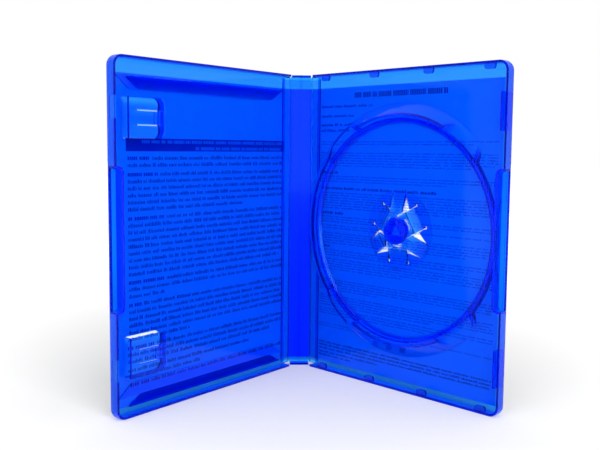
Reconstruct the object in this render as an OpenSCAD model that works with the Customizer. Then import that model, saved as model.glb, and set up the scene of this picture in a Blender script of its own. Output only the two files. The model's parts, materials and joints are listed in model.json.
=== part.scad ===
// Hinged disc case, standing open: a one-piece moulded shell of two covers and a spine,
// a paper insert folded round its outside, and a clear film sleeve over the insert.

/* [Case] */
// Height of the case
case_h = 171.5; // [160:0.5:210]
// Width of a cover, from its hinge line to its opening edge
cover_w = 135; // [132:0.5:165]
// Width of the spine between the two hinge lines
spine_w = 14; // [12:0.5:20]
// Depth of each cover, from its outer face to its rim
cover_depth = 6.9; // [6.6:0.1:8.5]
// Angle between the two covers as the case stands
opening_angle = 82.5; // [45:0.5:150]

/* [Shell] */
// Wall and floor thickness
wall = 1.2; // [1:0.1:1.5]
// Radius of the rounded outer edges
edge_r = 3; // [2:0.1:3.5]
// Radius of the outer corners, seen from the front
corner_r = 5; // [4:0.5:8]
// Distance from the hinge line to where the top and bottom walls begin
wall_start = 6.5; // [6.2:0.1:9]
// Depth of the walls that close the ends of the spine
spine_wall_depth = 5.8; // [3:0.1:6]
// Gap left at each hinge line for the thin web
hinge_gap = 0.3; // [0.2:0.05:0.5]

/* [Thumb notch] */
// Length of the thumb notch in the opening edge
notch_len = 67; // [50:1:80]
// How far the wall steps in at the thumb notch
notch_depth = 4.2; // [3:0.1:5]

/* [Disc well] */
// Radius of the well that the disc drops into
well_r = 61.3; // [60.8:0.1:61.8]
// Width of the sloping land round the well, from the well's wall to its foot
land_w = 6.9; // [6.4:0.1:7.4]
// Width of the flat top of the land
rim_w = 0.7; // [0.5:0.1:1.2]
// Height of the land's top above the outer face
land_top = 5.9; // [5.4:0.1:6.2]
// Height of the surface that the disc rests on
seat_top = 4.2; // [3.8:0.1:4.4]
// Width of the ledge under the rim of the disc
ledge_w = 2.3; // [2:0.1:3]
// Radius of the finger scallops
scallop_r = 13.6; // [12:0.1:16]
// Distance from the hub to the centre of a scallop
scallop_place = 55; // [53:0.1:56]

/* [Hub] */
// Radius of the boss that holds the disc by its hole
boss_r = 7.4; // [7.3:0.05:7.45]
// Height of the boss above the outer face
boss_top = 5.7; // [5.5:0.1:6.2]
// Drop of the three lead-in facets at the boss's rim
facet_drop = 0.7; // [0.5:0.1:0.9]
// How far the boss travels when it is pressed
press_travel = 1.2; // [0.8:0.1:1.3]
// Width of the three spring strips
strip_w = 12.3; // [10:0.1:12.8]
// Distance from the hub's centre to the outer end of a strip's slots
slot_reach = 18; // [17:0.5:20]
// Width of the slots beside the strips
slot_w = 0.7; // [0.5:0.1:0.9]
// Width of the three arms that carry the disc
arm_w = 8.1; // [7:0.1:8.6]
// Distance from the hub's centre to the root of an arm
arm_reach = 20.5; // [20:0.5:24]

/* [Booklet clips] */
// Length of a clip along the opening edge
clip_len = 19.3; // [15:0.1:24]
// How far a clip reaches over the booklet
clip_reach = 22; // [16:0.5:26]
// Distance from the opening edge to the back of a clip
clip_inset = 10; // [8:0.5:14]
// Distance from the top or bottom edge to the middle of a clip
clip_place = 28.4; // [24:0.1:34]
// Height of a clip's top above the outer face
clip_top = 6.2; // [5.8:0.1:6.4]

/* [Snaps and tabs] */
// Length of a snap tongue on the rear cover
snap_len = 18.4; // [12:0.1:22]
// Distance from the top or bottom edge to the middle of a snap tongue
snap_place = 24; // [20:0.1:28]
// How far a snap tongue stands above the rim
snap_rise = 2; // [1:0.1:2.2]
// Spacing of the small tabs along the top and bottom walls
tab_pitch = 36; // [30:0.5:36]
// Distance from the hinge line to the first tab
tab_first = 16.7; // [12:0.1:18]

/* [Insert and sleeve] */
// Height of the paper insert
insert_h = 160.5; // [150:0.5:161]
// Width of the paper insert on each cover
insert_w = 129.5; // [120:0.5:130]
// Height of the insert's lower edge
insert_base = 3.4; // [3.2:0.1:4.5]
// Thickness of the insert
insert_t = 0.2; // [0.15:0.01:0.3]
// Thickness of the film of the sleeve
film_t = 0.15; // [0.1:0.01:0.2]

/* [Hidden] */

$fn = 48;
big_fn = 120;
eps = 0.01;
running_gap = 0.3;
skin_gap = 0.05;

hub_u = cover_w / 2;
hub_v = case_h / 2;
land_r = well_r + land_w;
ledge_r = well_r - ledge_w;
land_clip = 1.5;
scoop_floor = 2 * wall;
scoop_r = well_r - 0.7;
scallop_angles = [50, 130, 230, 310];

strip_angles = [30, 150, 270];
arm_angles = [90, 210, 330];
slot_offset = strip_w / 2 + slot_w / 2;
slot_apex = slot_offset / sin(60);
slot_end = sqrt(pow(slot_reach, 2) - pow(slot_offset, 2));
keyhole_r = 0.95;
hub_pad_r = 21.6;
hub_pad_t = 0.25;
strip_t = 0.9;
strip_fold = 15;
skirt_reach = 9.5;
boss_base = press_travel + 0.8;
boss_foot_r = boss_r - 0.3;
boss_step = seat_top + 0.1;
boss_skin = 1;
facet_in = boss_r / 2;

skin_out = skin_gap * 2 + insert_t + film_t;
fold_angle = (opening_angle + 180) / 2;
front_hinge = [spine_w * cos(fold_angle), -spine_w * sin(fold_angle)];
x_low = front_hinge[0] + hinge_gap / 2 * cos(opening_angle) - skin_out * sin(opening_angle);
x_mid = (cover_w + x_low) / 2;
y_low = front_hinge[1] - (cover_w - edge_r) * sin(opening_angle) + edge_r * cos(opening_angle)
        - edge_r;
y_mid = (skin_out + y_low) / 2;

// Places for the three panels. Each panel is drawn lying on its outer face, with its hinge
// line along y, its height along y and its depth along z.

module place_rear() {
    translate([-x_mid, -y_mid, 0])
        rotate([90, 0, 0])
            children();
}

module place_front() {
    translate([front_hinge[0] - x_mid, front_hinge[1] - y_mid, 0])
        rotate([0, 0, -opening_angle])
            mirror([0, 1, 0])
                rotate([90, 0, 0])
                    children();
}

module place_spine() {
    translate([-x_mid, -y_mid, 0])
        rotate([0, 0, -fold_angle])
            mirror([0, 1, 0])
                rotate([90, 0, 0])
                    children();
}

// Outline of one rounded lower edge: w wide, d high, rounded at its far lower corner.
module one_edge(w, d, r) {
    translate([0, r])
        square([w, d - r]);
    square([w - r, d]);
    intersection() {
        translate([w - r, r])
            circle(r);
        square([w, d]);
    }
}

// Outline across the height of a cover, rounded at both lower corners.
module two_edges(h, d, r) {
    translate([0, r])
        square([h, d - r]);
    translate([r, 0])
        square([h - 2 * r, d]);
    for (y = [r, h - r])
        translate([y, r])
            circle(r);
}

// A slab from x = x0 to x = w, rounded along its back edges and its two far corners.
module rounded_slab(x0, w, h, d, rc, re) {
    translate([x0, 0, 0])
        rotate([90, 0, 90])
            linear_extrude(w - rc - x0)
                two_edges(h, d, re);
    translate([0, h - rc, 0])
        rotate([90, 0, 0])
            linear_extrude(h - 2 * rc)
                intersection() {
                    one_edge(w, d, re);
                    translate([x0, 0])
                        square([w, d]);
                }
    for (corner = [[rc, -90], [h - rc, 0]])
        translate([w - rc, corner[0], 0])
            rotate([0, 0, corner[1]])
                rotate_extrude(angle = 90)
                    one_edge(rc, d, re);
}

// Bevel at a hinge line, so that neighbouring panels can fold to a right angle.
module hinge_bevel(depth) {
    start = hinge_gap / 2;
    translate([0, case_h + 1, 0])
        rotate([90, 0, 0])
            linear_extrude(case_h + 2)
                polygon([[-5, -1], [start, -1], [start, 0], [start + depth, depth], [-5, depth]]);
}

// The pan that both covers share: floor, three walls, a thumb notch and a hinge-side ridge.
module cover_pan() {
    inner_h = case_h - 2 * wall;
    ridge_w = 1.2;
    ridge_h = 1.1;
    notch_r = 3;
    notch_v = (case_h - notch_len) / 2;
    notch_floor = 2 * wall;
    difference() {
        union() {
            difference() {
                rounded_slab(0, cover_w, case_h, cover_depth, corner_r, edge_r);
                translate([0, wall, wall])
                    rounded_slab(wall_start, cover_w - wall, inner_h, cover_depth,
                                 corner_r - wall, edge_r - wall);
                translate([-1, -1, wall])
                    cube([wall_start + 1, case_h + 2, cover_depth]);
            }
            translate([wall_start, wall, wall - eps])
                cube([ridge_w, inner_h, ridge_h + eps]);
            translate([cover_w - notch_depth - wall, notch_v - wall, wall - eps])
                linear_extrude(cover_depth - wall + eps)
                    notch_outline(notch_depth + wall / 4, notch_len + 2 * wall, notch_r);
        }
        translate([cover_w - notch_depth, notch_v, notch_floor])
            linear_extrude(cover_depth)
                notch_outline(notch_depth + wall, notch_len, notch_r - wall);
        hinge_bevel(wall);
    }
}

// Plan of a notch: straight on the outer side, with two rounded inner corners.
module notch_outline(d, l, r) {
    translate([r, 0])
        square([d - r, l]);
    translate([0, r])
        square([r, l - 2 * r]);
    for (y = [r, l - r])
        intersection() {
            translate([r, y])
                circle(r);
            square([d, l]);
        }
}

// Disc well

module scallops(r) {
    for (a = scallop_angles)
        rotate([0, 0, a])
            translate([scallop_place, 0])
                circle(r);
}

// Keeps what lies round the hub between two distances from the hinge line.
module well_clip(near, far) {
    intersection() {
        children();
        translate([near - hub_u, -hub_v, -1])
            cube([far - near, case_h, cover_depth]);
    }
}

// Ledge, wall, flat top and outer slope of the well, as one ring.
module well_ring() {
    foot_w = 1.6;
    foot_h = wall;
    rotate_extrude($fn = big_fn)
        polygon([[ledge_r - foot_w, wall - eps], [ledge_r - foot_w, wall],
                 [ledge_r, wall + foot_h], [ledge_r, seat_top], [well_r, seat_top],
                 [well_r, land_top], [well_r + rim_w, land_top], [land_r, wall],
                 [land_r, wall - eps]]);
}

// The ring is cored from behind, so that its walls are about as thick as the floor.
module well_core() {
    run = land_w - rim_w;
    rise = land_top - wall;
    slant = sqrt(run * run + rise * rise);
    foot_r = land_r + wall * run / rise - wall * slant / rise;
    core_ceiling = seat_top - wall;
    rim_core_r = well_r + wall;
    rim_core_top = (foot_r - rim_core_r) * rise / run;
    difference() {
        rotate_extrude($fn = big_fn)
            polygon([[ledge_r + wall, -eps], [ledge_r + wall, core_ceiling],
                     [rim_core_r, core_ceiling], [rim_core_r, rim_core_top], [foot_r, 0],
                     [foot_r, -eps]]);
        translate([0, 0, scoop_floor - wall])
            linear_extrude(cover_depth)
                scallops(scallop_r + wall);
    }
}

module scoops() {
    translate([0, 0, scoop_floor])
        linear_extrude(cover_depth)
            difference() {
                scallops(scallop_r);
                circle(scoop_r, $fn = big_fn);
            }
}

// Hub

module strip_slots_plan() {
    for (side = [-1, 1]) {
        translate([slot_apex / 2, side * slot_offset - slot_w / 2])
            square([slot_end - slot_apex / 2, slot_w]);
        translate([slot_end, side * slot_offset])
            circle(keyhole_r);
    }
}

// Opening below an arm, widening from the arm's root until it meets the slots.
module arm_opening_plan() {
    wide_x = slot_apex + 4;
    wide_y = (wide_x - slot_apex) * tan(60);
    root_y = arm_w / 2 + 0.15;
    polygon([[slot_apex, 0], [wide_x, wide_y], [arm_reach, root_y],
             [arm_reach, -root_y], [wide_x, -wide_y]]);
}

module strip_window_plan() {
    outer = boss_r + 1.5;
    difference() {
        intersection() {
            circle(outer);
            translate([0, -outer * sin(22)])
                square([outer, 2 * outer * sin(22)]);
        }
        circle(boss_foot_r, $fn = 64);
    }
}

// Everything that is cut through the floor at the hub.
module hub_openings_plan() {
    circle(boss_r + running_gap, $fn = 64);
    for (a = strip_angles)
        rotate([0, 0, a]) {
            strip_slots_plan();
            translate([slot_apex / 2, -slot_offset])
                square([strip_fold - slot_apex / 2, 2 * slot_offset]);
        }
    for (a = arm_angles)
        rotate([0, 0, a])
            arm_opening_plan();
}

// The fixed part of a spring strip, from its fold up to the boss's skirt.
module strip_ramp() {
    near = skirt_reach + running_gap;
    high = boss_base;
    translate([0, strip_w / 2, 0])
        rotate([90, 0, 0])
            linear_extrude(strip_w)
                polygon([[strip_fold + 0.3, 0], [strip_fold + 0.3, wall], [strip_fold, wall],
                         [near, high + strip_t], [near, high], [strip_fold - 1, 0]]);
}

// An arm that rises from the floor to the height on which the disc rests.
module arm() {
    flat_x = slot_apex + 4;
    inner = boss_r + running_gap;
    intersection() {
        translate([0, arm_w / 2, 0])
            rotate([90, 0, 0])
                linear_extrude(arm_w)
                    polygon([[arm_reach + 0.3, 0], [arm_reach + 0.3, wall], [arm_reach, wall],
                             [flat_x, seat_top], [inner, seat_top], [inner, seat_top - wall],
                             [flat_x, seat_top - wall], [arm_reach - 1.2, 0]]);
        translate([slot_apex + slot_w, 0, 0])
            linear_extrude(cover_depth)
                polygon([[0, 0], [10, 10 * tan(60)], [30, 10 * tan(60)], [30, -10 * tan(60)],
                         [10, -10 * tan(60)]]);
    }
}

// Tongue that stands above the rim and catches in a recess of the other cover.
module snap_tongue() {
    tongue_t = 1;
    inside = cover_w - wall - running_gap;
    catch_len = 6.6;
    catch_out = 0.5;
    tip = cover_depth + snap_rise;
    translate([inside - tongue_t, -snap_len / 2, wall - eps])
        cube([tongue_t, snap_len, tip - wall + eps]);
    translate([inside - eps, -snap_len / 2, wall - eps])
        cube([running_gap + 2 * eps, snap_len, cover_depth - 1.5 - wall]);
    translate([inside - tongue_t + eps, catch_len / 2, 0])
        rotate([90, 0, 0])
            linear_extrude(catch_len)
                polygon([[0, tip - 4], [-catch_out, tip - 3.4], [-catch_out, tip - 0.8],
                         [0, tip - 0.2]]);
}

module wall_tab() {
    tab_w = 6;
    tab_in = 2.8;
    tab_t = 1.2;
    tab_r = 1.4;
    translate([0, 0, cover_depth - tab_t])
        linear_extrude(tab_t) {
            translate([-tab_w / 2, -eps])
                square([tab_w, tab_in - tab_r + eps]);
            translate([-tab_w / 2 + tab_r, -eps])
                square([tab_w - 2 * tab_r, tab_in + eps]);
            for (side = [-1, 1])
                translate([side * (tab_w / 2 - tab_r), tab_in - tab_r])
                    circle(tab_r);
        }
}

// Small tabs along the top and bottom walls.
module wall_tabs() {
    for (i = [0:3]) {
        translate([tab_first + i * tab_pitch, wall, 0])
            wall_tab();
        translate([tab_first + i * tab_pitch, case_h - wall, 0])
            mirror([0, 1, 0])
                wall_tab();
    }
}

module rear_tray() {
    color([0.02, 0.2, 0.9, 0.6])
        place_rear() {
            difference() {
                union() {
                    cover_pan();
                    translate([hub_u, hub_v, 0])
                        well_clip(land_clip, cover_w - notch_depth)
                            difference() {
                                well_ring();
                                scoops();
                            }
                    translate([hub_u, hub_v, wall - eps])
                        cylinder(h = hub_pad_t + eps, r = hub_pad_r, $fn = 64);
                    wall_tabs();
                }
                translate([hub_u, hub_v, 0]) {
                    well_clip(land_clip + wall, cover_w - notch_depth - wall)
                        well_core();
                    translate([0, 0, -eps])
                        linear_extrude(cover_depth)
                            hub_openings_plan();
                }
            }
            translate([hub_u, hub_v, 0]) {
                for (a = strip_angles)
                    rotate([0, 0, a])
                        strip_ramp();
                for (a = arm_angles)
                    rotate([0, 0, a])
                        arm();
            }
            for (v = [snap_place, case_h - snap_place])
                translate([0, v, 0])
                    snap_tongue();
        }
}

// The boss with its three lead-in facets, and the inner ends of the spring strips.
module disc_release() {
    color([0.02, 0.25, 1, 0.6])
        place_rear()
            translate([hub_u, hub_v, 0]) {
                difference() {
                    union() {
                        translate([0, 0, boss_base])
                            cylinder(h = boss_step - boss_base + eps, r = boss_foot_r, $fn = 64);
                        translate([0, 0, boss_step])
                            cylinder(h = boss_top - boss_step, r = boss_r, $fn = 64);
                        for (a = strip_angles)
                            rotate([0, 0, a])
                                strip_skirt();
                    }
                    for (a = strip_angles)
                        rotate([0, 0, a])
                            facet_cut();
                    translate([0, 0, boss_base - 1])
                        linear_extrude(boss_top - boss_skin - boss_base + 1)
                            rotate([0, 0, 90])
                                circle(boss_r - 2.4, $fn = 3);
                }
            }
}

module strip_skirt() {
    translate([0, 0, boss_base])
        linear_extrude(strip_t)
            difference() {
                translate([slot_apex / 2, -strip_w / 2])
                    square([skirt_reach - slot_apex / 2, strip_w]);
                strip_window_plan();
            }
}

// Slopes from an edge of the top triangle down to the rim of the boss.
module facet_cut() {
    slope = facet_drop / (boss_r - facet_in);
    far = boss_r + 1;
    translate([0, boss_r + 1, 0])
        rotate([90, 0, 0])
            linear_extrude(2 * boss_r + 2)
                polygon([[facet_in, boss_top], [far, boss_top - slope * (far - facet_in)],
                         [far, boss_top + 1], [facet_in, boss_top + 1]]);
}

// Clip plate with rounded free corners.
module clip_plan(grow) {
    r = 4;
    reach = clip_reach + grow;
    half = clip_len / 2 + grow;
    translate([-reach + r, -half])
        square([reach - r, 2 * half]);
    translate([-reach, -half + r])
        square([reach, 2 * half - 2 * r]);
    for (side = [-1, 1])
        translate([-reach + r, side * (half - r)])
            circle(r);
}

// A clip that holds the booklet: a wall, a plate over the booklet and a springy tongue.
module booklet_clip() {
    tongue_half = 3.1;
    tongue_root = -4.2;
    tongue_tip = -clip_reach + 1.6;
    band_near = -clip_reach + 7.5;
    band_h = 0.4;
    translate([0, -clip_len / 2, wall - eps])
        cube([wall, clip_len, clip_top - wall + eps]);
    translate([0, 0, clip_top - wall])
        difference() {
            linear_extrude(wall)
                clip_plan(0);
            for (side = [-1, 1])
                translate([tongue_tip, side * (tongue_half + slot_w / 2) - slot_w / 2, -1])
                    cube([tongue_root - tongue_tip, slot_w, wall + 2]);
        }
    translate([tongue_tip, -tongue_half, clip_top - eps])
        cube([band_near - tongue_tip, 2 * tongue_half, band_h + eps]);
    translate([tongue_tip + 2, tongue_half, clip_top - wall])
        rotate([90, 0, 0])
            intersection() {
                cylinder(h = 2 * tongue_half, r = 0.9);
                translate([-1, -1, 0])
                    cube([2, 1 + eps, 2 * tongue_half]);
            }
}

// Shallow trapezoid step moulded in the floor near the top and bottom walls.
module floor_step() {
    step_t = 0.5;
    near = 9;
    far = cover_w - wall - 4;
    low = 8.5;
    deep = 6.5;
    slant = 8;
    translate([0, low, wall - eps])
        linear_extrude(step_t + eps)
            polygon([[near, 0], [far, 0], [far - slant, deep], [near + slant, deep]]);
}

module clip_places() {
    for (v = [clip_place, case_h - clip_place])
        translate([cover_w - clip_inset, v, 0])
            children();
}

module front_cover() {
    recess_len = 10.5;
    recess_in = 0.5;
    recess_top = cover_depth - 0.8;
    color([0.02, 0.2, 0.9, 0.6])
        place_front() {
            difference() {
                union() {
                    cover_pan();
                    floor_step();
                    translate([0, case_h, 0])
                        mirror([0, 1, 0])
                            floor_step();
                }
                clip_places()
                    translate([0, 0, -1])
                        linear_extrude(wall + 2)
                            clip_plan(0.3);
                for (v = [snap_place, case_h - snap_place])
                    translate([cover_w - wall - eps, v - recess_len / 2, wall + 2])
                        cube([recess_in + eps, recess_len, recess_top - wall - 2]);
            }
            clip_places()
                booklet_clip();
        }
}

module spine() {
    rib_w = 0.8;
    rib_h = 0.5;
    end_gap = wall + hinge_gap;
    color([0.02, 0.15, 0.8, 0.6])
        place_spine()
            difference() {
                union() {
                    rotate([90, 0, 90])
                        linear_extrude(spine_w)
                            intersection() {
                                two_edges(case_h, spine_wall_depth, edge_r);
                                difference() {
                                    square([case_h, spine_wall_depth]);
                                    translate([wall, wall])
                                        square([case_h - 2 * wall, spine_wall_depth]);
                                }
                            }
                    translate([spine_w / 2 - rib_w / 2, wall, wall - eps])
                        cube([rib_w, case_h - 2 * wall, rib_h + eps]);
                }
                hinge_bevel(wall);
                translate([spine_w, 0, 0])
                    mirror([1, 0, 0])
                        hinge_bevel(wall);
                for (x = [-eps, spine_w - end_gap])
                    translate([x, -1, wall])
                        cube([end_gap + eps, case_h + 2, cover_depth]);
            }
}

// One panel of the insert or of the sleeve, lying behind the outer face.
module skin(u0, u1, v0, h, inner, t) {
    translate([u0, v0, -inner - t])
        cube([u1 - u0, h, t]);
}

module paper(u0, u1) {
    skin(u0, u1, insert_base, insert_h, skin_gap, insert_t);
}

module film(u0, u1) {
    film_edge = edge_r - 0.4;
    skin(u0, u1, film_edge, case_h - 2 * film_edge, 2 * skin_gap + insert_t, film_t);
}

module insert_back() {
    color([0.95, 0.95, 0.97])
        place_rear()
            paper(hinge_gap / 2, insert_w);
}

module insert_spine() {
    color([0.95, 0.95, 0.97])
        place_spine()
            paper(hinge_gap / 2, spine_w - hinge_gap / 2);
}

module insert_front() {
    color([0.95, 0.95, 0.97])
        place_front()
            paper(hinge_gap / 2, insert_w);
}

module sleeve_back() {
    color([0.9, 0.95, 1, 0.3])
        place_rear()
            film(hinge_gap / 2, cover_w - edge_r);
}

module sleeve_spine() {
    color([0.9, 0.95, 1, 0.3])
        place_spine()
            film(hinge_gap / 2, spine_w - hinge_gap / 2);
}

module sleeve_front() {
    color([0.9, 0.95, 1, 0.3])
        place_front()
            film(hinge_gap / 2, cover_w - edge_r);
}

rear_tray();
disc_release();
spine();
front_cover();
insert_back();
insert_spine();
insert_front();
sleeve_back();
sleeve_spine();
sleeve_front();
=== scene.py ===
"""Looks of the open game disc case: materials, hinge webs, printed insert and studio."""
import json
import math
import random

import bpy
from mathutils import Matrix, Vector


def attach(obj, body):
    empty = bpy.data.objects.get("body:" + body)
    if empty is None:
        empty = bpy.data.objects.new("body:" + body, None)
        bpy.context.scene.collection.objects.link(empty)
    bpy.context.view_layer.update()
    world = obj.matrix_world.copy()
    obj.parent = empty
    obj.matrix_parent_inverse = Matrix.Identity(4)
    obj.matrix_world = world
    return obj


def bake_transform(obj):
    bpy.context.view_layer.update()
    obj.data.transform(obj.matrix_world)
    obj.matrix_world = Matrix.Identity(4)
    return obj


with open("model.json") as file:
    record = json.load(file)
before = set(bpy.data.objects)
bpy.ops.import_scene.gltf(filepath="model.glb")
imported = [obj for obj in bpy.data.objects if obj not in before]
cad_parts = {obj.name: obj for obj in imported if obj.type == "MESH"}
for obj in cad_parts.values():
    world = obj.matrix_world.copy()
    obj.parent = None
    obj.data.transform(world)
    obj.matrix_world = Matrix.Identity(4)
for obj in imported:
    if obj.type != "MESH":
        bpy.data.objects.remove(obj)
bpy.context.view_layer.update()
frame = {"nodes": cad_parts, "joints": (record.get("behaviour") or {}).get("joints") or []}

MM = 0.001

# Sizes of the case in millimetres, as in the CAD.
CASE_H = 171.5
COVER_W = 135.0
SPINE_W = 14.0
OPENING = math.radians(82.5)
HINGE_GAP = 0.3
WALL_START = 6.5
INSERT_H = 160.5
INSERT_W = 129.5
INSERT_BASE = 3.4
INSERT_TOP = INSERT_BASE + INSERT_H
PAPER_IN, PAPER_OUT = 0.05, 0.25
FILM_IN, FILM_OUT = 0.30, 0.45
FILM_BASE = 2.6
FOLD = (math.pi - OPENING) / 2

# Sizes of what is drawn here, in millimetres.
WEB_T = 0.6
WEB_BASE = 0.4
WEB_TUCK = 0.01
PRINT_LIFT = 0.01
ROW_STEP = 3.375
FINE_STEP = 1.45

# Levels of the studio, where 1 is white.
FLOOR_WHITE = 0.7
FAR_GLOW = 0.6
GLOW_START, GLOW_FULL = 0.12, 0.6
WORLD_LIGHT = 0.85

dice = random.Random(7)


def joint_place(name):
    """A joint's place in plan, in millimetres."""
    joint = next(j for j in frame["joints"] if j["name"] == name)
    return Vector(joint["pos_m"][:2]) / MM


REAR_HINGE = joint_place("rear_hinge")
FRONT_HINGE = joint_place("front_hinge")


def plan_direction(angle):
    return Vector((math.cos(angle), math.sin(angle)))


class Panel:
    """A flat panel: u from its hinge line, v up, n inward from its outer face, in millimetres."""

    def __init__(self, hinge, heading, inward):
        self.hinge = hinge
        self.along = plan_direction(heading)
        self.inward = plan_direction(inward)

    def plan(self, u, n):
        return self.hinge + self.along * u + self.inward * n

    def at(self, u, v, n):
        place = self.plan(u, n)
        return Vector((place.x, place.y, v)) * MM


SPINE_HEADING = -(OPENING + math.pi) / 2
rear = Panel(REAR_HINGE, 0.0, -math.pi / 2)
front = Panel(FRONT_HINGE, -OPENING, math.pi / 2 - OPENING)
spine = Panel(REAR_HINGE, SPINE_HEADING, SPINE_HEADING + math.pi / 2)
spine_back = Panel(FRONT_HINGE, SPINE_HEADING + math.pi, SPINE_HEADING + math.pi / 2)


def mesh_piece(name, vertices, faces, materials, face_materials=None):
    mesh = bpy.data.meshes.new(name)
    mesh.from_pydata([tuple(v) for v in vertices], [], faces)
    for material in materials:
        mesh.materials.append(material)
    if face_materials:
        mesh.polygons.foreach_set("material_index", face_materials)
    mesh.update()
    piece = bpy.data.objects.new(name, mesh)
    bpy.context.scene.collection.objects.link(piece)
    return piece


class Print:
    """Flat printed shapes on one side of a panel's insert, gathered into one piece.

    Layer 0 lies just off the paper, and each higher layer lies over the one before.
    """

    def __init__(self, panel, inside):
        self.panel = panel
        self.face = -PAPER_IN if inside else -PAPER_OUT
        self.side = 1 if inside else -1
        self.vertices = []
        self.faces = []
        self.inks = []

    def shape(self, outline, ink, layer=0):
        first = len(self.vertices)
        n = self.face + self.side * PRINT_LIFT * (layer + 1)
        self.vertices += [self.panel.at(u, v, n) for u, v in outline]
        self.faces.append(list(range(first, first + len(outline))))
        self.inks.append(ink)

    def block(self, u0, u1, v0, v1, ink, layer=0):
        self.shape([(u0, v0), (u1, v0), (u1, v1), (u0, v1)], ink, layer)

    def disc(self, u, v, radius, ink, layer=0, sides=32):
        turns = [2 * math.pi * i / sides for i in range(sides)]
        outline = [(u + radius * math.cos(t), v + radius * math.sin(t)) for t in turns]
        self.shape(outline, ink, layer)

    def row(self, start, end, v, height, ink, layer=0, bold=False):
        """A row of generic word-like dashes, from start towards end along u."""
        way = math.copysign(1, end - start)
        stem, space = ((0.8, 1.3), 0.3) if bold else ((0.35, 0.95), 0.28)
        gone = 0.0
        while gone < abs(end - start) - 1:
            word_end = min(gone + dice.uniform(2.2, 11), abs(end - start))
            while gone < word_end - 0.3:
                bar = min(dice.uniform(*stem), word_end - gone)
                tall = height * (1.0 if bold else dice.choice((0.75, 0.75, 0.8, 1.0, 1.1)))
                near, far = sorted((start + way * gone, start + way * (gone + bar)))
                self.block(near, far, v, v + tall, ink, layer)
                gone += bar + space
            gone = word_end + 1.0

    def ride(self, name, body):
        materials = list(dict.fromkeys(self.inks))
        piece = mesh_piece(name, self.vertices, self.faces, materials,
                           [materials.index(ink) for ink in self.inks])
        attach(piece, body)


def corner_strip(name, path, base, height, materials):
    """A thin strip bent across a hinge line. path holds (outer, inner) plan points in order.

    The last of the materials is that of the outer side.
    """
    vertices, faces, face_materials = [], [], []
    for outer, inner in path:
        for v in (base, base + height):
            vertices += [Vector((p.x, p.y, v)) * MM for p in (outer, inner)]
    for i in range(len(path) - 1):
        a, b = 4 * i, 4 * (i + 1)
        faces += [(a, b, b + 2, a + 2), (a + 1, a + 3, b + 3, b + 1),
                  (a, a + 1, b + 1, b), (a + 2, b + 2, b + 3, a + 3)]
        face_materials += [len(materials) - 1, 0, 0, 0]
    last = 4 * (len(path) - 1)
    faces += [(0, 2, 3, 1), (last, last + 1, last + 3, last + 2)]
    face_materials += [0, 0]
    piece = mesh_piece(name, vertices, faces, materials, face_materials)
    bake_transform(piece)


def sheet_path(first, second, inner, outer, steps=8):
    """Plan of a sheet that runs from one panel, round the hinge line, to the next."""
    gap = HINGE_GAP / 2
    turn = math.copysign(FOLD, (-first.inward).angle_signed(-second.inward))
    path = [(first.plan(gap, -outer), first.plan(gap, -inner))]
    for i in range(steps + 1):
        out = -first.inward
        out.rotate(Matrix.Rotation(-turn * i / steps, 2))
        path.append((first.hinge + out * outer, first.hinge + out * inner))
    path.append((second.plan(gap, -outer), second.plan(gap, -inner)))
    return path


def web_path(first, second):
    """Plan of the thin web that joins two panels at their hinge line."""
    near = HINGE_GAP / 2 - WEB_TUCK
    middle = first.hinge + (first.inward + second.inward).normalized() * (
        WEB_T / math.cos(FOLD / 2))
    return [(first.plan(near, 0), first.plan(near + WEB_T, WEB_T)),
            (first.hinge, middle),
            (second.plan(near, 0), second.plan(near + WEB_T, WEB_T))]


def new_material(name):
    material = bpy.data.materials.new(name)
    material.use_nodes = True
    tree = material.node_tree
    return material, tree, tree.nodes["Principled BSDF"]


def add_node(tree, kind, **values):
    node = tree.nodes.new(kind)
    for key, value in values.items():
        if key in node.inputs:
            node.inputs[key].default_value = value
        else:
            setattr(node, key, value)
    return node


def enabled_socket(sockets, name):
    """The socket of that name that the node's data type uses."""
    return next(s for s in sockets if s.name == name and s.enabled)


def noise(tree, scale, detail=3.0, rough=0.5):
    place = add_node(tree, "ShaderNodeTexCoord")
    node = add_node(tree, "ShaderNodeTexNoise", Scale=scale, Detail=detail, Roughness=rough)
    tree.links.new(place.outputs["Object"], node.inputs["Vector"])
    return node.outputs["Fac"]


def spread(tree, value, low, high, from_low=0.3, from_high=0.7):
    node = add_node(tree, "ShaderNodeMapRange")
    for key, number in (("From Min", from_low), ("From Max", from_high),
                        ("To Min", low), ("To Max", high)):
        node.inputs[key].default_value = number
    tree.links.new(value, node.inputs["Value"])
    return node.outputs["Result"]


def bump(tree, shader, height, distance):
    node = add_node(tree, "ShaderNodeBump", Distance=distance)
    tree.links.new(height, node.inputs["Height"])
    tree.links.new(node.outputs["Normal"], shader.inputs["Normal"])


def blend_colours(tree, shader, value, first, second):
    node = add_node(tree, "ShaderNodeMix", data_type="RGBA")
    enabled_socket(node.inputs, "A").default_value = (*first, 1)
    enabled_socket(node.inputs, "B").default_value = (*second, 1)
    tree.links.new(value, enabled_socket(node.inputs, "Factor"))
    tree.links.new(enabled_socket(node.outputs, "Result"), shader.inputs["Base Color"])


def clear_plastic(name, colour, gloss_colour, rough_low, rough_high, grain, grain_depth):
    """See-through plastic with faint scuffs and an uneven surface."""
    material, tree, shader = new_material(name)
    shader.inputs["Transmission Weight"].default_value = 1
    shader.inputs["IOR"].default_value = 1.49
    shader.inputs["Base Color"].default_value = (*colour, 1)
    shader.inputs["Specular Tint"].default_value = (*gloss_colour, 1)
    scuffs = noise(tree, 90, 5, 0.6)
    tree.links.new(spread(tree, scuffs, rough_low, rough_high), shader.inputs["Roughness"])
    bump(tree, shader, noise(tree, grain, 2), grain_depth)
    return material


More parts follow.
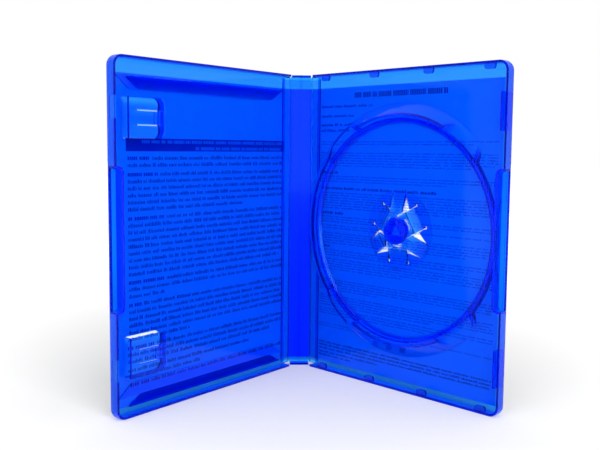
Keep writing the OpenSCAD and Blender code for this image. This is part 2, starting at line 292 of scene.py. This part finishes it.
def shell_plastic(name, colour, gloss_colour, density):
    """Dyed plastic: it absorbs with its depth, and its edges return a soft blue light."""
    material = clear_plastic(name, colour, gloss_colour, 0.03, 0.12, 160, 0.00003)
    tree = material.node_tree
    volume = add_node(tree, "ShaderNodeVolumeAbsorption", Density=density)
    volume.inputs["Color"].default_value = (0, 0.62, 1, 1)
    tree.links.new(volume.outputs["Volume"], tree.nodes["Material Output"].inputs["Volume"])
    shader = tree.nodes["Principled BSDF"]
    shader.inputs["Sheen Weight"].default_value = 1.0
    shader.inputs["Sheen Roughness"].default_value = 0.4
    shader.inputs["Sheen Tint"].default_value = (0, 0.08, 1, 1)
    return material


def printed_paper(name, colour, rough=0.55):
    """Coated paper, or ink on it: a fine mottle and a fine tooth."""
    material, tree, shader = new_material(name)
    shader.inputs["IOR"].default_value = 1.45
    shade = tuple(c * 0.93 for c in colour)
    blend_colours(tree, shader, noise(tree, 700, 4), shade, colour)
    tree.links.new(spread(tree, noise(tree, 260), rough - 0.08, rough + 0.08),
                   shader.inputs["Roughness"])
    bump(tree, shader, noise(tree, 2500, 2), 0.00001)
    return material


shell_blue = shell_plastic("shell_blue", (0.2, 0.7, 1), (0.08, 0.3, 1), 1650)
# A darker copy of the shell plastic, with denser dye and dimmer gloss: painted shade for the
# spine, the hinge webs and the floor wedges.
painted_shade_blue = shell_plastic("painted_shade_blue", (0.1, 0.6, 1), (0.02, 0.1, 1), 2500)
clear_film = clear_plastic("clear_film", (1, 1, 1), (0.35, 0.35, 0.35), 0.02, 0.08, 60, 0.00004)
white_paper = printed_paper("white_paper", (0.92, 0.92, 0.93))
spine_paper = printed_paper("spine_paper", (0.3, 0.3, 0.86))
dark_ink = printed_paper("dark_ink", (0.03, 0.03, 0.32), 0.45)
text_ink = printed_paper("text_ink", (0.08, 0.08, 0.25), 0.5)
pale_ink = printed_paper("pale_ink", (0.6, 0.6, 0.75), 0.5)
faint_ink = printed_paper("faint_ink", (0.3, 0.3, 0.55), 0.5)
cover_ink = printed_paper("cover_ink", (0.015, 0.1, 0.5), 0.4)
night_ink = printed_paper("night_ink", (0.015, 0.03, 0.12), 0.4)
sky_ink = printed_paper("sky_ink", (0.1, 0.42, 0.8), 0.4)
warm_ink = printed_paper("warm_ink", (0.85, 0.5, 0.08), 0.4)

# The spine takes the darker copy of the shell plastic: painted shade where the covers shade the
# spine.
NODE_MATERIALS = {"spine": painted_shade_blue, "insert_back": white_paper, "insert_spine": spine_paper,
                  "insert_front": white_paper, "sleeve_back": clear_film,
                  "sleeve_spine": clear_film, "sleeve_front": clear_film}


def across_hinge(name, first, second):
    """The web, the paper's fold and the film's fold at one hinge line."""
    # The web is in the darker plastic: painted shade along the hinge line.
    corner_strip("web_" + name, web_path(first, second), WEB_BASE,
                 CASE_H - 2 * WEB_BASE, [painted_shade_blue])
    corner_strip("insert_fold_" + name,
                 sheet_path(first, second, PAPER_IN, PAPER_OUT), INSERT_BASE, INSERT_H,
                 [white_paper, cover_ink])
    corner_strip("sleeve_fold_" + name,
                 sheet_path(first, second, FILM_IN, FILM_OUT), FILM_BASE,
                 CASE_H - 2 * FILM_BASE, [clear_film])


def from_top(distance):
    return CASE_H - distance


def inner_front_print():
    """A dark header bar with pale dashes, and paragraphs of dashes with bold first words."""
    page = Print(front, inside=True)
    outer, inner = COVER_W - 13, 7.0
    page.block(inner - 1.5, outer + 1, from_top(44.3), from_top(38), dark_ink)
    page.row(outer - 9, inner, from_top(40.4), 1.5, pale_ink, layer=1, bold=True)
    page.row(outer - 45, inner, from_top(43.6), 1.5, pale_ink, layer=1, bold=True)
    # Each paragraph: place of its first row, number of rows, length of its bold start and
    # where its last row ends, as a share of the full width.
    for first_row, rows, bold, share in (
            (47.7, 2, 14, 1), (55.5, 6, 19, 0.72), (76.75, 9, 23, 0.98), (107.75, 3, 23, 0.2),
            (118.75, 6, 8, 0.35), (139.9, 3, 16, 0.92), (150.9, 1, 0, 0.75), (154.4, 1, 0, 0.43),
            (158.1, 1, 12, 1)):
        for i in range(rows):
            end = outer + (inner - outer) * (share if i == rows - 1 else 1)
            v = from_top(first_row + i * ROW_STEP) - 0.8
            start = outer
            if i == 0 and bold:
                page.row(outer, outer - bold, v, 1.7, dark_ink, bold=True)
                start = outer - bold - 1.5
            page.row(start, end, v, 1.8, text_ink)
    page.ride("print_inner_front", "front")


def inner_rear_print():
    """A bold title, a few dark rows, and paragraphs of fine faint rows."""
    page = Print(rear, inside=True)
    left, right = WALL_START + 1.5, 127.0
    page.row(33.5, 97, from_top(13.8), 3.0, text_ink, bold=True)
    # Each dark row: its place and where it ends.
    for place, end in ((18.2, 47), (23.6, 33), (28.7, 35), (31.9, 30), (55.9, 22), (64.9, 92),
                       (79.3, 26), (98.8, 16)):
        page.row(left, end, from_top(place) - 0.7, 1.5, dark_ink, layer=1)
    # Each paragraph: its first row and its number of rows.
    for first_row, rows in ((38.2, 2), (44.6, 6), (58.0, 3), (67.6, 7), (81.4, 3), (86.6, 2),
                            (91.0, 5), (101.0, 3), (106.2, 5), (118.4, 5), (127.9, 5),
                            (136.0, 3), (145.0, 2)):
        for i in range(rows):
            share = dice.uniform(0.3, 0.9) if i == rows - 1 else 1
            page.row(left, left + (right - left) * share,
                     from_top(first_row + i * FINE_STEP) - 0.4, 0.8, faint_ink)
    for i in range(3):
        page.row(left, right, from_top(156.4 + i * 1.9) - 0.5, 1.1, text_ink)
    for i in range(2):
        page.row(left, left + 45 - 20 * i, from_top(162.4 + i * 1.9) - 0.5, 1.0, text_ink)
    for u in (52, 61.5, 71):
        page.block(u - 2, u + 2, from_top(152), from_top(148.5), faint_ink)
    page.ride("print_inner_rear", "rear")


def outer_prints():
    """A generic cover: a blue field with a band, hills and a sun, and panels on the back."""
    left, right = HINGE_GAP / 2, INSERT_W
    band = INSERT_TOP - 14

    cover = Print(front, inside=False)
    cover.block(left, right, INSERT_BASE, INSERT_TOP, cover_ink)
    cover.block(left, right, band, INSERT_TOP, sky_ink, layer=1)
    cover.block(left, right, band - 1.5, band, white_paper, layer=1)
    cover.disc(right - 44, 104, 21, warm_ink, layer=1)
    cover.shape([(left, INSERT_BASE), (right, INSERT_BASE), (right, 62), (98, 78), (72, 52),
                 (40, 88), (left, 58)], sky_ink, layer=2)
    cover.shape([(left, INSERT_BASE), (right, INSERT_BASE), (right, 34), (104, 46), (60, 28),
                 (28, 42), (left, 30)], night_ink, layer=3)
    cover.ride("print_outer_front", "front")

    back = Print(rear, inside=False)
    back.block(left, right, INSERT_BASE, INSERT_TOP, cover_ink)
    back.block(left, right, band, INSERT_TOP, sky_ink, layer=1)
    for u, ink in ((9, night_ink), (49, sky_ink), (89, warm_ink)):
        back.block(u, u + 35, 96, 118, ink, layer=1)
    back.block(9, 124, 52, 88, night_ink, layer=1)
    for i in range(8):
        back.row(120, 44 if i == 7 else 14, 82 - 3.6 * i, 1.5, white_paper, layer=2)
    back.block(9, 124, 10, 40, white_paper, layer=1)
    for i in range(5):
        back.row(120, 60, 34 - 4.5 * i, 1.5, night_ink, layer=2)
    back.ride("print_outer_rear", "rear")

    side = Print(spine, inside=False)
    middle = SPINE_W / 2
    side.block(left, SPINE_W - left, INSERT_BASE, INSERT_TOP, cover_ink)
    side.block(left, SPINE_W - left, band, INSERT_TOP, sky_ink, layer=1)
    side.disc(middle, 128, 4, warm_ink, layer=1)
    side.block(middle - 2, middle + 2, 40, 112, white_paper, layer=1)
    side.ride("print_outer_spine", "middle")


def floor_wedge(name, low, high, floor):
    """A wedge of the darker plastic on the front cover's floor, highest at v = low, with slanting
    ends: painted shade, a darker band along the cover's top or bottom wall.
    """
    slant = 8.0
    near, far, crest = 10.0, 124.0, floor + 1.5
    corners = [(near, low, floor), (far, low, floor), (far - slant, high, floor),
               (near + slant, high, floor), (near, low, crest), (far, low, crest)]
    faces = [(0, 3, 2, 1), (0, 1, 5, 4), (4, 5, 2, 3), (0, 4, 3), (1, 2, 5)]
    if high > low:
        faces = [face[::-1] for face in faces]
    wedge = mesh_piece(name, [front.at(*corner) for corner in corners], faces, [painted_shade_blue])
    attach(wedge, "front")


def seen_rays(tree):
    """1 where the background itself is seen, also in gloss and through clear plastic."""
    rays = add_node(tree, "ShaderNodeLightPath")
    total = rays.outputs["Is Camera Ray"]
    for name in ("Is Glossy Ray", "Is Transmission Ray"):
        node = add_node(tree, "ShaderNodeMath", operation="MAXIMUM")
        tree.links.new(total, node.inputs[0])
        tree.links.new(rays.outputs[name], node.inputs[1])
        total = node.outputs[0]
    return total


def make_floor():
    """Pale, brighter away from the case where it is seen, with the object's shadow near it."""
    material, tree, shader = new_material("floor_white")
    shader.inputs["Roughness"].default_value = 0.9
    shader.inputs["Specular IOR Level"].default_value = 0.0
    shader.inputs["Base Color"].default_value = (FLOOR_WHITE, FLOOR_WHITE, FLOOR_WHITE, 1)
    shader.inputs["Emission Color"].default_value = (1, 1, 1, 1)
    place = add_node(tree, "ShaderNodeTexCoord")
    distance = add_node(tree, "ShaderNodeVectorMath", operation="LENGTH")
    tree.links.new(place.outputs["Object"], distance.inputs[0])
    glow = add_node(tree, "ShaderNodeMath", operation="MULTIPLY")
    tree.links.new(spread(tree, distance.outputs["Value"], 0, FAR_GLOW, GLOW_START, GLOW_FULL),
                   glow.inputs[0])
    tree.links.new(seen_rays(tree), glow.inputs[1])
    tree.links.new(glow.outputs[0], shader.inputs["Emission Strength"])
    half = 6.0
    mesh = bpy.data.meshes.new("floor")
    mesh.from_pydata([(-half, -half, 0), (half, -half, 0), (half, half, 0), (-half, half, 0)],
                     [], [(0, 1, 2, 3)])
    mesh.materials.append(material)
    floor = bpy.data.objects.new("floor", mesh)
    floor.location.z = -0.2 * MM
    bpy.context.scene.collection.objects.link(floor)


def make_world():
    """White where it is seen, and a little dimmer as light."""
    world = bpy.data.worlds.new("studio")
    world.use_nodes = True
    tree = world.node_tree
    background = tree.nodes["Background"]
    background.inputs["Color"].default_value = (1, 1, 1, 1)
    tree.links.new(spread(tree, seen_rays(tree), WORLD_LIGHT, 1.0, 0.0, 1.0),
                   background.inputs["Strength"])
    bpy.context.scene.world = world


def make_lamp(name, place, size, power):
    """A square soft light, aimed at the middle of the case."""
    lamp = bpy.data.lights.new(name, "AREA")
    lamp.shape = "SQUARE"
    lamp.size = size
    lamp.energy = power
    made = bpy.data.objects.new(name, lamp)
    made.location = place
    aim = Vector((0, 0, 0.08)) - Vector(place)
    made.rotation_euler = aim.to_track_quat("-Z", "Y").to_euler()
    bpy.context.scene.collection.objects.link(made)


def make_camera():
    """The photograph's own viewpoint, from a fit to the outlines of the case."""
    place = Vector((277.65, -270.44, 129.32)) * MM
    azimuth, pitch, roll = (math.radians(a) for a in (45.654, -5.409, 0.505))
    forward = Vector((-math.sin(azimuth) * math.cos(pitch),
                      math.cos(azimuth) * math.cos(pitch), math.sin(pitch)))
    right = Vector((math.cos(azimuth), math.sin(azimuth), 0))
    up = right.cross(forward)
    turned_right = right * math.cos(roll) + up * math.sin(roll)
    turned_up = up * math.cos(roll) - right * math.sin(roll)
    lens = bpy.data.cameras.new("camera")
    lens.sensor_width = 36
    lens.lens = 48.61
    lens.clip_start = 0.01
    camera = bpy.data.objects.new("camera", lens)
    turn = Matrix((turned_right, turned_up, -forward)).transposed().to_4x4()
    camera.matrix_world = Matrix.Translation(place) @ turn
    bpy.context.scene.collection.objects.link(camera)
    bpy.context.scene.camera = camera


for node_name, cad_piece in frame["nodes"].items():
    cad_piece.data.materials.clear()
    cad_piece.data.materials.append(NODE_MATERIALS.get(node_name, shell_blue))

across_hinge("rear", rear, spine)
across_hinge("front", spine_back, front)
inner_front_print()
inner_rear_print()
outer_prints()
# Painted shade: two wedges of the darker plastic darken bands along the front cover's bottom and
# top walls.
floor_wedge("wedge_low", 3.75, 8.4, 1.25)
floor_wedge("wedge_high", CASE_H - 9.25, CASE_H - 14.9, 1.75)

make_floor()
make_world()
make_lamp("key", (1.5, -0.6, 0.55), 1.4, 48)
make_lamp("fill", (0.35, -1.6, 0.5), 1.3, 24)
make_camera()
bpy.context.scene.view_settings.view_transform = "Standard"
